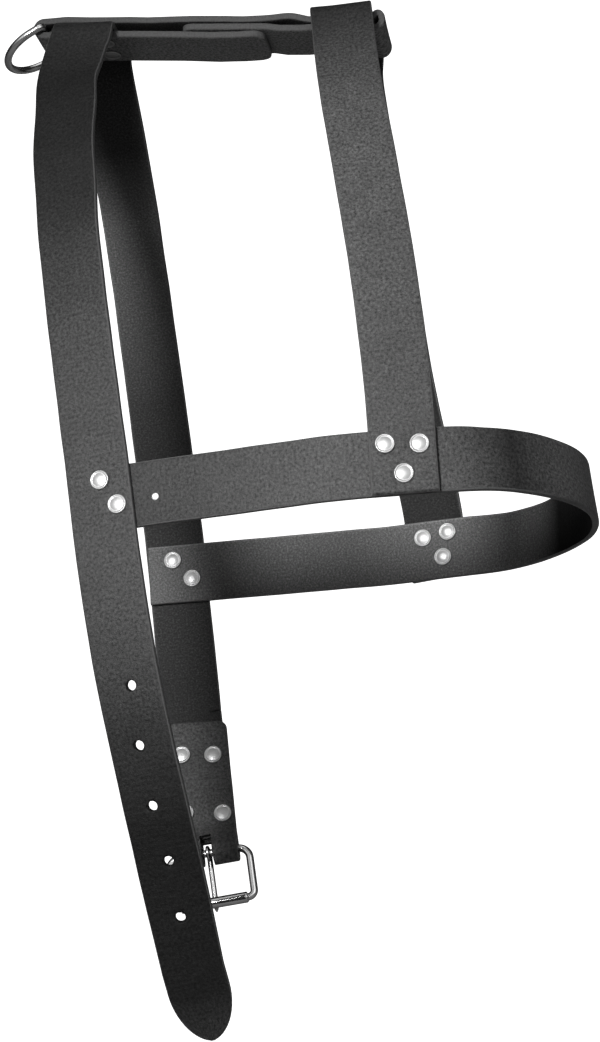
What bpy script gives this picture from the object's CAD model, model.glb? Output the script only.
"""Black leather harness with nickel fittings.

A U-shaped breast band lies level, closed at its front (+X). The girth strap crosses its rear
and the wither strap its front; each runs up both sides and over the top, where the back strap
joins them. The near side is -Y, the far side +Y, and +Z is up. The lead ring hangs behind the
back strap, the girth's free end hangs on the near side and its buckle on the far side.

Shapes are in millimetres with z = 0 at mid-height of the band. The built frame is in metres,
with its origin at the centre of the ring's opening.
"""
import math

import bpy
import bmesh
import numpy as np
from mathutils import Matrix, Vector, noise


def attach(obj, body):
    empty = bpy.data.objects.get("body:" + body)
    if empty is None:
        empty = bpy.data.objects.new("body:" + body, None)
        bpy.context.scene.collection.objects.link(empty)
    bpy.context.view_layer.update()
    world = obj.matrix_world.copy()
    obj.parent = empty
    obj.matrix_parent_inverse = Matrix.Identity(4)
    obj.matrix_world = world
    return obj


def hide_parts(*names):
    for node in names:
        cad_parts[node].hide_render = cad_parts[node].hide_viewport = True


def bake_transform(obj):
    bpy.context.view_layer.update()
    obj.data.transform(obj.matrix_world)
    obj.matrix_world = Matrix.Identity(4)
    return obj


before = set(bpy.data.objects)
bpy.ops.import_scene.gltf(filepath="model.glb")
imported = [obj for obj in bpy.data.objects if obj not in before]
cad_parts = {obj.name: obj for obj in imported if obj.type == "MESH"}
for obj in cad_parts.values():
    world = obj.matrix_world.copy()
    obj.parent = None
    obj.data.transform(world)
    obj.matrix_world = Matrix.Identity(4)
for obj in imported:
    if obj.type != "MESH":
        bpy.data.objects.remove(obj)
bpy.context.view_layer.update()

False  # nothing is simulated, so a quick build is the same as a full one


def vec(*values):
    return np.array(values, float)


def unit(vector):
    vector = np.asarray(vector, float)
    return vector / np.linalg.norm(vector)


def share(value, start, span):
    """How far a value has got through a span, held to 0..1."""
    return float(np.clip((value - start) / span, 0, 1))


def ease(part):
    return part * part * (3 - 2 * part)


# ------------------------------------------------------------------ driving sizes (mm)
X_AXIS, Y_AXIS, Z_AXIS = np.eye(3)
STRAP_WIDTH = 32.0
HALF = STRAP_WIDTH / 2
THICK = 3.6
LAYER_PITCH = THICK + 0.06          # leather and the gap to the next layer
WIRE_R = 2.0
LOOP_R = WIRE_R + 0.08 + THICK / 2  # middle of a strap bent round a wire
STATION_STEP = 1.6                  # longest distance between strap stations

# the back strap starts at the ring's bar and falls a little towards the front
BACK_TILT = math.radians(6.92)
RING_BAR = vec(-131.0, 0.0, 274.3)
ALONG = vec(math.cos(BACK_TILT), 0, -math.sin(BACK_TILT))
ABOVE = vec(math.sin(BACK_TILT), 0, math.cos(BACK_TILT))
RING_DROOP = math.radians(26.5)
RING_OUT = vec(-math.cos(RING_DROOP), 0, -math.sin(RING_DROOP))
ORIGIN = RING_BAR + RING_OUT * 13.0

# rise of the middle of each layer above the bar
TOP_RISE = LOOP_R
GIRTH_RISE = TOP_RISE - LAYER_PITCH
LOW_RISE = GIRTH_RISE - LAYER_PITCH
WITHER_RISE = TOP_RISE + LAYER_PITCH

GIRTH_RUN = 22.9         # runs along the back strap from the bar
WITHER_RUN = 158.8
WITHER_RIVET_RUN = 157.6
HOLE_R = 2.5


def back_point(run, rise, across=0.0):
    return RING_BAR + ALONG * run + ABOVE * rise + vec(0, across, 0)


def out(point):
    """Millimetres to the built frame's metres."""
    return (np.asarray(point, float) - ORIGIN) * 0.001


# ------------------------------------------------------------------ band sides and crossings
class BandSide:
    """Straight stretch of the band seen from above: y = y0 + grade * (x - x0)."""

    def __init__(self, x0, y0, grade):
        self.x0, self.y0, self.grade = x0, y0, grade

    def point(self, x):
        return vec(x, self.y0 + self.grade * (x - self.x0))

    def meet(self, other):
        own_y = self.y0 - self.grade * self.x0
        other_y = other.y0 - other.grade * other.x0
        return self.point((own_y - other_y) / (other.grade - self.grade))


NEAR_REAR_SIDE = BandSide(-111.0, -64.6, -0.139)
NEAR_FRONT_SIDE = BandSide(30.0, -81.6, 0.08)
FAR_FRONT_SIDE = BandSide(90.0, 94.7, -0.13)
FAR_REAR_SIDE = BandSide(-111.0, 100.0, 0.029)


class Crossing:
    """Place where a strap's leg lies flat on the outside of the band.

    lean is the leg's forward travel for each unit of height."""

    def __init__(self, side, x, hand, lean):
        self.out = unit(vec(-side.grade * hand, hand, 0))
        self.along = np.cross(Z_AXIS, self.out)
        if self.along[0] < 0:
            self.along = -self.along
        self.band = np.append(side.point(x), 0.0)
        self.leg = self.band + self.out * LAYER_PITCH
        self.lean = lean
        self.half_height = HALF + 2.6

    def flat(self, point, tangent):
        """Position, tangent and width direction on the band's face, or None elsewhere."""
        if abs(point[2]) > self.half_height + 0.02 or (point - self.leg).dot(self.out) < -30:
            return None
        if abs(point[0] - self.leg[0]) > 25:
            return None
        up = unit(Z_AXIS + self.along * self.lean)
        on_face = self.leg + up * (point[2] / up[2])
        return on_face, (-up if tangent[2] < 0 else up), self.along

    def stack(self, x, z):
        """Point between the two layers."""
        middle = self.band + self.out * (LAYER_PITCH / 2)
        middle = middle + self.along * ((x - middle[0]) / self.along[0])
        return vec(middle[0], middle[1], z)

    def leg_rows(self, heights, yaw):
        up = Z_AXIS + self.along * self.lean
        return [tuple((self.leg + up * z)[:2]) + (z, yaw, 0.0) for z in heights]


near_rear = Crossing(NEAR_REAR_SIDE, -98.5, -1, -0.077)
near_front = Crossing(NEAR_FRONT_SIDE, 49.7, -1, 0.0)
far_front = Crossing(FAR_FRONT_SIDE, 45.83, 1, -0.06)
far_rear = Crossing(FAR_REAR_SIDE, -96.0, 1, -0.05)


def top_flat(run, rise, half):
    """Keeps a strap flat where it passes over the back."""
    middle = back_point(run, rise)

    def flat(point, tangent):
        if abs(point[1]) > half or point[2] < 240 or abs(point[0] - middle[0]) > 8:
            return None
        return vec(middle[0], point[1], middle[2]), vec(0, 1 if tangent[1] > 0 else -1, 0), ALONG

    return flat


# ------------------------------------------------------------------ free-running straps
def natural_spline(knots, rows):
    """Natural cubic spline through rows of values, as a function of the knot length."""
    count = len(knots)
    values = np.array(rows, float)
    spans = np.diff(knots)
    system = np.zeros((count, count))
    target = np.zeros((count, values.shape[1]))
    system[0, 0] = system[-1, -1] = 1
    for i in range(1, count - 1):
        before, after = spans[i - 1], spans[i]
        system[i, i - 1] = before
        system[i, i] = 2 * (before + after)
        system[i, i + 1] = after
        target[i] = 6 * ((values[i + 1] - values[i]) / after - (values[i] - values[i - 1]) / before)
    bend = np.linalg.solve(system, target)

    def at(x):
        i = int(np.clip(np.searchsorted(knots, x) - 1, 0, count - 2))
        span = spans[i]
        p = (knots[i + 1] - x) / span
        q = (x - knots[i]) / span
        curve = ((p ** 3 - p) * bend[i] + (q ** 3 - q) * bend[i + 1]) * span * span / 6
        return p * values[i] + q * values[i + 1] + curve

    return at


class Ribbon:
    """Strap centre line from rows of x, y, z, yaw and slope of the width (degrees)."""

    def __init__(self, table, flats=()):
        places = np.array(table, float)[:, :3]
        gaps = np.linalg.norm(np.diff(places, axis=0), axis=1)
        knots = np.concatenate([[0], np.cumsum(gaps)])
        self.length = float(knots[-1])
        self.at = natural_spline(knots, table)
        self.flats = flats

    def frame(self, s):
        """Strap frame at length s: point, tangent, width direction, grain-side normal."""
        reach = 0.05
        row = self.at(s)
        ahead = self.at(min(self.length, s + reach))[:3]
        behind = self.at(max(0, s - reach))[:3]
        point, tangent = row[:3], unit(ahead - behind)
        yaw, slope = math.radians(row[3]), math.radians(row[4])
        width = vec(math.cos(yaw) * math.cos(slope), -math.sin(yaw), math.sin(slope))
        for flat in self.flats:
            pinned = flat(point, tangent)
            if pinned is not None:
                point, tangent, width = pinned
        width = unit(width - tangent * width.dot(tangent))
        return point, tangent, width, unit(np.cross(tangent, width))

    def frames(self, start, end):
        count = max(2, int(math.ceil(abs(end - start) / STATION_STEP)))
        return [self.frame(start + (end - start) * j / count) for j in range(count + 1)]


GIRTH_TOP = back_point(GIRTH_RUN, GIRTH_RISE)
GIRTH_TOP_HALF = 16.7
SHOULDER_R = 6.5
TOP_SLOPE = -6.92


def girth_shoulder(side, yaws, shifts):
    """Rows round the bend from the flat top into a leg; shifts move them in x."""
    rows = []
    for degrees, yaw, slope, shift in zip((28.0, 56.0, 80.0), yaws, (-5.0, -3.0, -1.5), shifts):
        turn = math.radians(degrees)
        rows.append((GIRTH_TOP[0] + shift,
                     side * (GIRTH_TOP_HALF + SHOULDER_R * math.sin(turn)),
                     GIRTH_TOP[2] - SHOULDER_R + SHOULDER_R * math.cos(turn), yaw, slope))
    return rows


# all leg tables: x, y, z, yaw, slope, from the top down
GIRTH_NEAR_LEG = [
    (-110.4, -24.5, 260.5, -1.5, 0.0), (-112.8, -28.0, 250.0, -2.0, 0.0),
    (-115.1, -35.5, 234.0, 3.0, 0.0), (-114.4, -43.0, 218.0, 3.0, 0.0),
    (-114.4, -49.0, 202.5, 5.0, 0.0), (-114.2, -54.0, 188.0, 6.0, 0.0),
    (-113.1, -58.0, 173.5, 6.0, 0.0), (-111.9, -61.6, 158.0, 8.0, 0.0),
    (-111.1, -64.6, 144.0, 10.0, 0.0), (-109.4, -67.6, 124.0, 11.0, 0.0),
    (-107.5, -69.6, 102.0, 10.5, 0.0), (-105.5, -70.7, 80.0, 9.5, 0.0),
    (-103.7, -70.9, 58.0, 9.0, 0.0), (-102.1, -70.4, 38.0, 8.3, 0.0)]
GIRTH_FAR_LEG = [
    (-108.1, 24.5, 260.5, 1.0, 0.0), (-107.3, 29.0, 250.0, 2.0, 0.0),
    (-106.2, 38.0, 234.0, 4.0, 0.0), (-105.6, 48.0, 218.0, 6.5, 0.0),
    (-105.2, 57.5, 203.0, 7.5, 0.0), (-105.1, 66.5, 189.0, 8.0, 0.0),
    (-105.1, 74.5, 175.0, 8.0, 0.0), (-104.7, 82.5, 159.0, 7.5, 0.0),
    (-104.3, 88.5, 142.0, 5.5, 0.0), (-103.6, 93.7, 124.0, 4.0, 0.0),
    (-102.5, 98.2, 102.0, 2.0, 0.0), (-101.2, 101.3, 80.0, 0.5, 0.0),
    (-99.8, 103.1, 58.0, -1.0, 0.0), (-98.5, 103.9, 38.0, -1.4, 0.0)]
GIRTH_NEAR_END = (-96.75, -70.05, -29.0, 7.9, 0.0)
GIRTH_FAR_END = (-94.6, 103.95, -29.0, -1.7, 0.0)
BILLET = [
    GIRTH_NEAR_END, (-94.8, -68.8, -50.0, 8.0, 0.0),
    (-92.1, -64.4, -79.0, 8.0, 0.0), (-88.85, -57.8, -108.0, 8.0, 0.0),
    (-85.8, -50.2, -133.0, 7.0, 0.0), (-82.7, -41.6, -158.0, 4.0, 0.0),
    (-80.5, -34.0, -177.0, 1.0, 0.0), (-78.4, -26.4, -196.0, -2.5, 0.0),
    (-76.0, -17.6, -218.0, -5.5, 0.0), (-73.6, -9.4, -240.0, -7.5, 0.0),
    (-71.8, -3.7, -256.6, -8.5, 0.0)]
BILLET_HOLES = [(-91.6, 1.4), (-119.3, -1.0), (-147.3, -1.2), (-172.7, 0.4),
                (-198.7, -0.2)]  # z, offset across the strap
WITHER_NEAR_LEG = [
    (28.0, -22.6, 261.3, 0.0, 1.0), (28.3, -24.4, 257.5, -0.5, 2.0),
    (28.9, -27.3, 249.5, -1.5, 2.0), (30.2, -34.4, 235.0, -2.5, 0.0),
    (31.7, -42.0, 221.0, -3.0, 0.0), (33.3, -49.0, 207.0, -3.0, 0.0),
    (35.0, -55.3, 193.0, -3.5, 0.0), (37.0, -61.0, 178.0, -4.0, 0.0),
    (39.0, -66.0, 162.5, -4.0, 0.0), (41.0, -70.3, 145.5, -4.0, 0.0),
    (43.3, -74.4, 125.0, -4.5, 0.0), (45.5, -77.8, 103.0, -4.5, 0.0),
    (47.2, -80.4, 82.0, -4.6, 0.0), (48.6, -82.3, 60.0, -4.6, 0.0),
    (49.6, -83.4, 39.0, -4.6, 0.0)]
WITHER_FAR_LEG = [
    (28.0, 22.6, 261.3, 0.0, 1.0), (28.1, 24.4, 257.5, 0.0, 2.0),
    (26.8, 28.0, 249.5, 0.0, 2.0), (26.4, 36.5, 235.0, 0.5, 0.0),
    (27.1, 46.0, 220.0, 1.5, 0.0), (28.3, 56.0, 204.5, 2.5, 0.0),
    (29.5, 66.5, 187.5, 3.5, 0.0), (30.7, 77.0, 168.0, 4.5, 0.0),
    (32.1, 86.0, 145.5, 5.5, 0.0), (33.5, 93.5, 119.5, 6.3, 0.0),
    (35.4, 98.4, 96.0, 6.9, 0.0), (37.9, 101.5, 75.0, 7.2, 0.0),
    (40.6, 103.2, 55.0, 7.4, 0.0), (43.0, 103.9, 37.0, 7.4, 0.0)]


def girth_ribbon():
    """From the far end up, over the back and down to the near end."""
    leg_heights = (18.6, 9.0, 0.0, -9.0, -18.6)
    table = [GIRTH_FAR_END]
    table += far_rear.leg_rows(leg_heights[::-1], -1.7)
    table += GIRTH_FAR_LEG[::-1]
    table += girth_shoulder(1, (0, 0, 0.5), (0, -0.1, -0.2))[::-1]
    table += [(GIRTH_TOP[0], y, GIRTH_TOP[2], 0.0, TOP_SLOPE)
              for y in (GIRTH_TOP_HALF, 10.0, 0.0, -10.0, -GIRTH_TOP_HALF)]
    table += girth_shoulder(-1, (0.0, -0.5, -1.5), (0, -0.2, -0.5))
    table += GIRTH_NEAR_LEG
    table += near_rear.leg_rows(leg_heights, 7.9)
    table += [GIRTH_NEAR_END]
    flats = (near_rear.flat, far_rear.flat, top_flat(GIRTH_RUN, GIRTH_RISE, 16.6))
    return Ribbon(table, flats)


def wither_ribbon():
    """From the far side of the band, over the back, to the near side."""
    top_x, _, top_z = back_point(WITHER_RUN, WITHER_RISE)

    def top_edges(side):
        return [(top_x + 0.05, side * 16.6, top_z + 0.95, 0.0, -3.8),
                (top_x + 0.2, side * 20.1, top_z + 0.75, 0.0, -0.5)]

    table = far_front.leg_rows((-14.8, -8.0, 0.0, 9.0, 18.6), 7.4)
    table += WITHER_FAR_LEG[::-1]
    table += top_edges(1)[::-1]
    table += [(top_x, y, top_z, 0.0, TOP_SLOPE) for y in (12.0, 6.0, 0.0, -6.0, -12.0)]
    table += top_edges(-1)
    table += WITHER_NEAR_LEG
    table += near_front.leg_rows((18.6, 9.0, 0.0, -8.0, -HALF - 0.4), -4.6)
    flats = (near_front.flat, far_front.flat, top_flat(WITHER_RUN, WITHER_RISE, 12.3))
    return Ribbon(table, flats)


girth = girth_ribbon()
billet = Ribbon(BILLET)
wither = wither_ribbon()

# rivets through band and leg, as x, z; each spot becomes a point and an axis
BAND_RIVETS = {
    key: [(crossing.stack(x, z), crossing.out) for x, z in places]
    for key, crossing, places in (
        ("near_rear", near_rear, [(-98.4, 8.5), (-90.1, -4.7)]),
        ("far_rear", far_rear, [(-97.7, 7.5), (-87.5, -3.4)]),
        ("near_front", near_front, [(41.7, 8.2), (57.8, 7.2), (49.5, -6.7)]),
        ("far_front", far_front, [(39.6, 7.0), (53.2, 8.8), (49.7, -4.5)]))}
# rivets through the back strap: run, rise, then offsets along and across
BACK_RIVETS = {
    key: [(back_point(run + along, rise, across), ABOVE) for along, across in places]
    for key, run, rise, places in (
        ("girth_back", GIRTH_RUN, GIRTH_RISE,
         [(9.5, -8.5), (9.5, 7.0), (-8.5, -8.0), (-8.5, 8.0)]),
        ("wither_back", WITHER_RIVET_RUN, TOP_RISE,
         [(6.4, -7.5), (6.4, 7.5), (-8.5, -7.5), (-8.5, 7.5)]))}


# ------------------------------------------------------------------ planar paths
def rounded(points, radii):
    """Lines and arcs along a polyline whose inner corners are rounded."""
    pieces = []
    here = points[0]
    for before, corner, after, radius in zip(points, points[1:], points[2:], radii):
        d0, d1 = unit(corner - before), unit(after - corner)
        turn = math.atan2(d0[0] * d1[1] - d0[1] * d1[0], d0.dot(d1))
        cut = radius * math.tan(abs(turn) / 2)
        start, end = corner - d0 * cut, corner + d1 * cut
        centre = start + vec(-d0[1], d0[0]) * (math.copysign(1.0, turn) * radius)
        angle = math.atan2(start[1] - centre[1], start[0] - centre[0])
        pieces.append(("line", here, start))
        pieces.append(("arc", centre, radius, angle, turn))
        here = end
    pieces.append(("line", here, points[-1]))
    return pieces


def walk(pieces, arc_degrees=7):
    """Points and unit tangents along a path, close together on tight bends."""
    stations = []
    for piece in pieces:
        if piece[0] == "line":
            _, start, end = piece
            length = np.linalg.norm(end - start)
            if length < 1e-6:
                continue
            heading = (end - start) / length
            count = max(1, int(math.ceil(length / STATION_STEP)))
            walked = [(start + heading * length * j / count, heading) for j in range(count + 1)]
        else:
            _, centre, radius, first, turn = piece
            steps = max(abs(turn) * radius / STATION_STEP, abs(turn) / math.radians(arc_degrees))
            count = max(2, int(math.ceil(steps)))
            hand = math.copysign(1.0, turn)
            walked = []
            for j in range(count + 1):
                angle = first + turn * j / count
                spoke = vec(math.cos(angle), math.sin(angle))
                walked.append((centre + radius * spoke, hand * vec(-spoke[1], spoke[0])))
        stations += walked[:-1]
    return stations + [walked[-1]]


def planar_frames(pieces, origin, x_axis, y_axis, width, arc_degrees):
    """Strap frames from a path in a plane; the width is square to the plane."""
    frames = []
    for p, d in walk(pieces, arc_degrees):
        tangent = x_axis * d[0] + y_axis * d[1]
        point = origin + x_axis * p[0] + y_axis * p[1]
        frames.append((point, tangent, width, unit(np.cross(tangent, width))))
    return frames


# ------------------------------------------------------------------ mesh helpers
def add_object(name, mesh):
    made = bpy.data.objects.new(name, mesh)
    bpy.context.scene.collection.objects.link(made)
    return made


def smooth_object(name, bm, mesh=None):
    """Object from a bmesh, with normals outward and smooth shading."""
    mesh = mesh or bpy.data.meshes.new(name)
    bmesh.ops.recalc_face_normals(bm, faces=bm.faces)
    bm.to_mesh(mesh)
    bm.free()
    for face in mesh.polygons:
        face.use_smooth = True
    return add_object(name, mesh)


def matrix_of(x, y, z, place):
    """Matrix with the given columns; place is in metres."""
    columns = np.eye(4)
    columns[:3] = np.column_stack((x, y, z, place))
    return Matrix(columns.tolist())


def place_on(point, axis):
    """Frame at a point (mm) with its z along an axis."""
    z = unit(axis)
    reference = Z_AXIS if abs(z[2]) < 0.8 else X_AXIS
    x = unit(reference - z * reference.dot(z))
    return matrix_of(x, np.cross(z, x), z, out(point))


def finish_piece(piece, material, nodes, body=None):
    piece.data.materials.clear()
    piece.data.materials.append(material)
    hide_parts(*nodes)
    if body:
        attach(piece, body)


def cutter(name, bm, matrix):
    mesh = bpy.data.meshes.new(name)
    bm.to_mesh(mesh)
    bm.free()
    made = add_object(name, mesh)
    made.matrix_world = matrix
    bpy.context.view_layer.update()
    return made


def hole_cutter(point, axis):
    bm = bmesh.new()
    bmesh.ops.create_cone(bm, cap_ends=True, segments=40, radius1=HOLE_R * 1e-3,
                          radius2=HOLE_R * 1e-3, depth=2e-3 * 5.0)
    return cutter("peg", bm, place_on(point, axis))


def box_cutter(middle, axes, sizes):
    bm = bmesh.new()
    bmesh.ops.create_cube(bm, size=1.0)
    columns = [axis * size * 1e-3 for axis, size in zip(axes, sizes)]
    return cutter("slot", bm, matrix_of(*columns, out(middle)))


def punch(piece, cutters):
    """Cuts holes through a strap and drops the cutters."""
    for tool in cutters:
        modifier = piece.modifiers.new("punch", "BOOLEAN")
        modifier.operation = "DIFFERENCE"
        modifier.solver = "EXACT"
        modifier.object = tool
    graph = bpy.context.evaluated_depsgraph_get()
    mesh = bpy.data.meshes.new_from_object(piece.evaluated_get(graph))
    piece.modifiers.clear()
    old = piece.data
    piece.data = mesh
    mesh.name = old.name
    bpy.data.meshes.remove(old)
    for tool in cutters:
        bpy.data.objects.remove(tool)


# ------------------------------------------------------------------ strap mesh
GRAIN_CORNER, FLESH_CORNER = 0.95, 0.6  # rounding of the cut edges
EDGE_BULGE = 0.08
TIP_WIDTH = 0.945                       # share of the width kept just before a tip


def cross_section():
    """Closed outline as (across, normal, side); side is 0 grain, 1 cut edge, 2 flesh."""
    half, top = HALF, THICK / 2
    grain, flesh = GRAIN_CORNER, FLESH_CORNER
    face_steps = 20
    wall = 2 * top - grain - flesh
    outline = []
    for j in range(face_steps + 1):
        outline.append((-half + grain + (2 * half - 2 * grain) * j / face_steps, top, 0.0))
    for j in range(1, 5):
        a = math.pi / 2 * j / 4
        outline.append((half - grain + grain * math.sin(a), top - grain + grain * math.cos(a),
                        1.0 if j > 1 else 0.6))
    for j in range(1, 3):
        bulge = EDGE_BULGE * math.sin(math.pi * j / 3)
        outline.append((half + bulge, top - grain - wall * j / 3, 1.0))
    for j in range(4):
        a = math.pi / 2 * j / 3
        outline.append((half - flesh + flesh * math.cos(a), -top + flesh - flesh * math.sin(a),
                        1.0 if j < 3 else 1.6))
    for j in range(1, face_steps + 1):
        outline.append((half - flesh - (2 * half - 2 * flesh) * j / face_steps, -top, 2.0))
    for j in range(1, 4):
        a = math.pi / 2 * j / 3
        outline.append((-half + flesh - flesh * math.sin(a), -top + flesh - flesh * math.cos(a),
                        1.0))
    for j in range(1, 3):
        bulge = EDGE_BULGE * math.sin(math.pi * j / 3)
        outline.append((-half - bulge, -top + flesh + wall * j / 3, 1.0))
    for j in range(4):
        a = math.pi / 2 * j / 4
        outline.append((-half + grain - grain * math.cos(a), top - grain + grain * math.sin(a),
                        1.0 if j < 3 else 0.6))
    return outline


SECTION_ACROSS, SECTION_NORMAL, SECTION_SIDE = np.array(cross_section()).T
SECTION_COUNT = len(SECTION_SIDE)
SECTION_CORNER = np.where(SECTION_NORMAL > 0, GRAIN_CORNER, FLESH_CORNER)
IN_CORNER = np.abs(SECTION_ACROSS) > HALF - SECTION_CORNER - 1e-6


def wander(s, lane, scale, seed):
    """Smooth noise along a strap; each lane gives another curve."""
    return noise.noise(Vector((s * scale + seed, lane * scale - seed, 2 * seed)))


def width_share(end, distance):
    """Share of the full width at a distance from an end of kind round or tip."""
    if end is None:
        return 1.0
    kind, length = end
    if kind == "round":
        if distance >= length:
            return 1.0
        chord = math.sqrt(max(0.0, length * length - (length - distance) ** 2))
        return (HALF - length + chord) / HALF
    if distance >= length:
        # the sides draw in a little over the last part of the strap
        return float(np.interp(distance - length, (0.0, 14.0, 32.0, 56.0),
                               (TIP_WIDTH, 0.952, 0.972, 1.0)))
    return TIP_WIDTH * max(0.0, 1 - (1 - distance / length) ** 2) ** 0.58


def densify_end(frames, length, at_end):
    """Extra stations close to an end so that its outline stays round."""
    inward = frames[::-1] if at_end else frames
    reach = [0.0]
    for a, b in zip(inward, inward[1:]):
        reach.append(reach[-1] + float(np.linalg.norm(a[0] - b[0])))
    dense = []
    for k in range(15):
        wanted = length * (1 - math.cos(math.pi / 2 * k / 14))
        i = min(len(reach) - 2, int(np.searchsorted(reach, wanted, side="right")) - 1)
        i = max(i, 0)
        q = (wanted - reach[i]) / max(1e-9, reach[i + 1] - reach[i])
        point, *axes = [a * (1 - q) + b * q for a, b in zip(inward[i], inward[i + 1])]
        dense.append((point, *map(unit, axes)))
    dense += [frame for frame, d in zip(inward, reach) if d > length + 0.3]
    return dense[::-1] if at_end else dense


def strap_ring(frame, s, to_go, ends, seed, ripple, calmness):
    """Points of the cross-section at one station, s mm from the start."""
    point, _, width, normal = frame
    full = max(min(width_share(ends[0], s), width_share(ends[1], to_go)), 0.08)
    # the rounded corners keep their size while the strap narrows
    across = np.where(IN_CORNER,
                      SECTION_ACROSS - np.sign(SECTION_ACROSS) * HALF * (1 - full),
                      SECTION_ACROSS * (HALF * full - SECTION_CORNER) / (HALF - SECTION_CORNER))
    height = SECTION_NORMAL.copy()
    for distance in (s, to_go):
        if distance < 0.7:  # cut ends are rounded over
            near_cut = ((0.7 - distance) / 0.7) ** 2
            height = height * (1 - 0.16 * near_cut)
            across = across * (1 - 0.012 * near_cut)
    # the point of a tip sits a little to one side
    is_tip = ends[1] and ends[1][0] == "tip"
    aside = 2.2 * max(0.0, 1 - to_go / 36.0) if is_tip else 0.0
    ripple = ripple * calmness
    rise = ripple * wander(s, 0, 0.022, seed) + ripple * 0.35 * wander(s, 0, 0.07, seed + 5)
    left = 0.16 * wander(s, 1, 0.05, seed + 9)
    right = 0.16 * wander(s, 2, 0.05, seed + 19)
    edge = np.where(SECTION_ACROSS > HALF - 2, right,
                    np.where(SECTION_ACROSS < -HALF + 2, left, 0.0))
    cup = 0.10 * calmness * (SECTION_ACROSS / HALF) ** 2 * wander(s, 3, 0.03, seed + 29)
    return (point + np.outer(across + edge + aside, width)
            + np.outer(height + rise + cup, normal))


def press(points, normals, spots, max_height, max_radius, depth):
    """Moves surface points round each (point, axis) spot by depth(radius), outward if positive."""
    outward = np.tile(np.sign(SECTION_NORMAL), len(points) // SECTION_COUNT)
    for centre, axis in spots:
        offset = points - centre
        axis = unit(axis)
        height = offset @ axis
        radius = np.linalg.norm(offset - np.outer(height, axis), axis=1)
        hit = (np.abs(height) < max_height) & (radius < max_radius)
        points[hit] += normals[hit] * (outward[hit] * depth(radius[hit]))[:, None]


def rivet_dent(radius):
    return -0.30 * np.exp(-np.maximum(0, radius - 4.0) ** 2 / 3.2)


def hole_lip(radius):
    """The rim of a hole is drawn in, with a low ridge round it."""
    return (-0.28 * np.exp(-np.maximum(0, radius - HOLE_R) ** 2 / 0.9)
            + 0.10 * np.exp(-(radius - HOLE_R - 1.6) ** 2 / 0.8))


def strap_faces(rings):
    faces = []
    for i in range(rings - 1):
        a, b = i * SECTION_COUNT, (i + 1) * SECTION_COUNT
        for j in range(SECTION_COUNT):
            k = (j + 1) % SECTION_COUNT
            faces.append((a + j, a + k, b + k, b + j))
    # the ends are closed with strips so that the shading stays clean
    half = SECTION_COUNT // 2
    for base, order in ((0, -1), ((rings - 1) * SECTION_COUNT, 1)):
        loop = [base + j for j in range(SECTION_COUNT)]
        top, bottom = loop[:half], loop[half:][::-1]
        for j in range(half - 1):
            faces.append((top[j], bottom[j], bottom[j + 1], top[j + 1])[::order])
    return faces


def strap_uvs(mesh, run, seed):
    """UVs in units of 100 mm: round the section and along the strap."""
    sides = np.hypot(np.diff(SECTION_ACROSS), np.diff(SECTION_NORMAL))
    girths = np.concatenate([[0], np.cumsum(sides)])
    full_girth = girths[-1] + math.hypot(SECTION_ACROSS[0] - SECTION_ACROSS[-1],
                                         SECTION_NORMAL[0] - SECTION_NORMAL[-1])
    vertices = np.zeros(len(mesh.loops), np.int32)
    mesh.loops.foreach_get("vertex_index", vertices)
    ring, place = vertices // SECTION_COUNT, vertices % SECTION_COUNT
    face = np.arange(len(mesh.loops)) // 4  # every face has four corners
    # the last face of each ring closes the girth instead of returning to zero
    closing = ((face % SECTION_COUNT == SECTION_COUNT - 1) & (place == 0)
               & (face < (len(run) - 1) * SECTION_COUNT))
    uvs = np.zeros(len(mesh.loops) * 2, np.float32)
    uvs[0::2] = np.where(closing, full_girth, girths[place]) * 0.01 + seed * 3.17
    uvs[1::2] = run[ring] * 0.01 + seed * 1.71
    return uvs


def strap(name, frames, dye, seed, ripple, ends=(None, None), dents=(), lips=(), calm=()):
    """A leather strap along its frames.

    dye gives grain and flesh tone factors at a point, ripple is its height in mm, calm
    functions give 0..1 for how far it may ripple, dents and lips are (point, axis) spots of
    rivets and holes."""
    for end, at_end in zip(ends, (False, True)):
        if end:
            frames = densify_end(frames, end[1], at_end)
    centres = np.array([frame[0] for frame in frames])
    run = np.concatenate([[0], np.cumsum(np.linalg.norm(np.diff(centres, axis=0), axis=1))])
    rings = []
    for frame, s in zip(frames, run):
        calmness = min([1.0] + [part(frame[0]) for part in calm])
        rings.append(strap_ring(frame, s, run[-1] - s, ends, seed, ripple, calmness))
    points = np.concatenate(rings)
    normals = np.repeat(np.array([frame[3] for frame in frames]), SECTION_COUNT, axis=0)
    press(points, normals, dents, max_height=9, max_radius=10, depth=rivet_dent)
    press(points, normals, lips, max_height=4, max_radius=8, depth=hole_lip)

    mesh = bpy.data.meshes.new(name)
    mesh.from_pydata([tuple(p) for p in out(points)], [], strap_faces(len(frames)))
    mesh.validate()
    uv_map = mesh.uv_layers.new(name="UVMap")
    side = mesh.attributes.new("side", "FLOAT", "POINT")
    side.data.foreach_set("value", np.tile(SECTION_SIDE, len(frames)).astype(np.float32))
    tones = []
    for centre in centres:
        grain, flesh = dye(centre)
        tones.append(np.where(SECTION_SIDE > 1.4, flesh, grain))
    dye_attribute = mesh.attributes.new("dye", "FLOAT", "POINT")
    dye_attribute.data.foreach_set("value", np.concatenate(tones).astype(np.float32))
    uv_map.data.foreach_set("uv", strap_uvs(mesh, run, seed))
    bm = bmesh.new()
    bm.from_mesh(mesh)
    return smooth_object(name, bm, mesh)


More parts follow.
